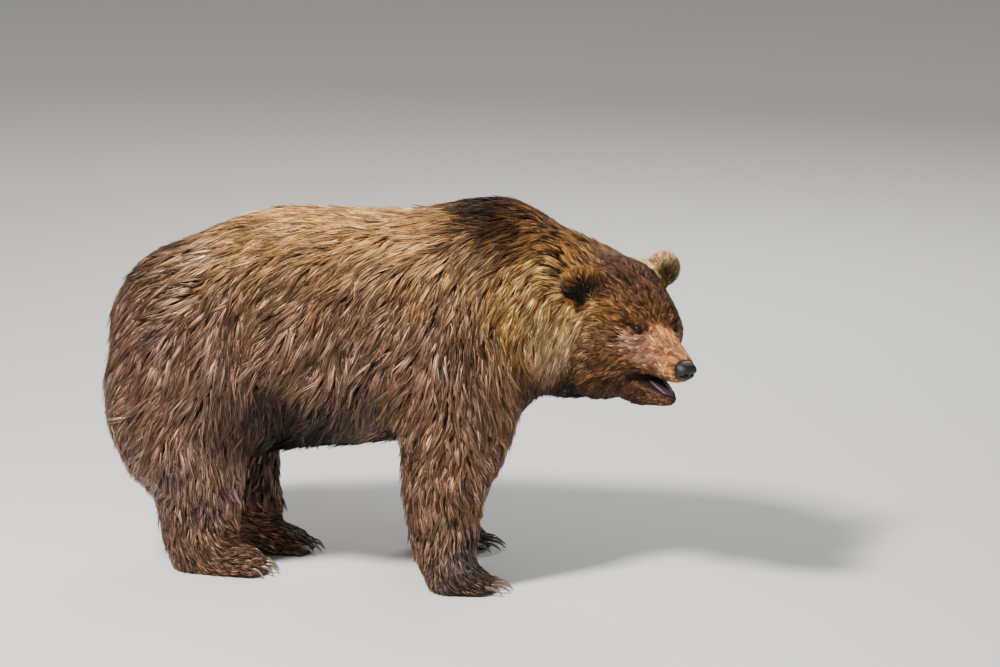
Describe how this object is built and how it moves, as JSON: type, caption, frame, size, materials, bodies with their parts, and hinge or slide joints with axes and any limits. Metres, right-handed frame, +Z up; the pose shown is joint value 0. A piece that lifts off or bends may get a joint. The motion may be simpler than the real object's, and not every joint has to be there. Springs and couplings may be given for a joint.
{
  "type": "brown bear model",
  "caption": "Life-size still model of an adult brown bear standing on all fours, head lowered and turned to its right, mouth slightly open.",
  "frame": {"origin": "on the floor, under the middle of the bear's bounding box", "axes": "+X is the way the body points, +Y is the bear's left, +Z is up"},
  "size_m": [1.6358, 0.6294, 1.0389],
  "materials": {
    "back_coat": "damp golden-brown fur, darker on the hump",
    "neck_coat": "golden-brown fur",
    "face_coat": "short ticked brown fur",
    "ear_coat": "pale golden fur round a dark hollow",
    "leg_coat": "damp dark-brown fur",
    "paw_coat": "short dark-brown fur",
    "nose": "damp black pebbled skin",
    "tongue": "wet dusky pink",
    "eye": "dark brown, wet gloss",
    "claw": "pale horn"
  },
  "bodies": {
    "root": {"claw_front_left_1": "claw", "claw_front_left_2": "claw", "claw_front_left_3": "claw", "claw_front_left_4": "claw", "claw_front_left_5": "claw", "claw_front_right_1": "claw", "claw_front_right_2": "claw", "claw_front_right_3": "claw", "claw_front_right_4": "claw", "claw_front_right_5": "claw", "claw_hind_left_1": "claw", "claw_hind_left_2": "claw", "claw_hind_left_3": "claw", "claw_hind_left_4": "claw", "claw_hind_left_5": "claw", "claw_hind_right_1": "claw", "claw_hind_right_2": "claw", "claw_hind_right_3": "claw", "claw_hind_right_4": "claw", "claw_hind_right_5": "claw", "ear_left": "ear_coat", "ear_right": "ear_coat", "eye_left": "eye", "eye_right": "eye", "fore_paw_left": "paw_coat", "fore_paw_right": "paw_coat", "forearm_left": "leg_coat", "forearm_right": "leg_coat", "head": "face_coat", "hind_paw_left": "paw_coat", "hind_paw_right": "paw_coat", "jaw": "face_coat", "neck": "neck_coat", "nose": "nose", "shank_left": "leg_coat", "shank_right": "leg_coat", "tail": "back_coat", "thigh_left": "leg_coat", "thigh_right": "leg_coat", "tongue": "tongue", "trunk": "back_coat", "upper_arm_left": "leg_coat", "upper_arm_right": "leg_coat"}
  },
  "joints": []
}
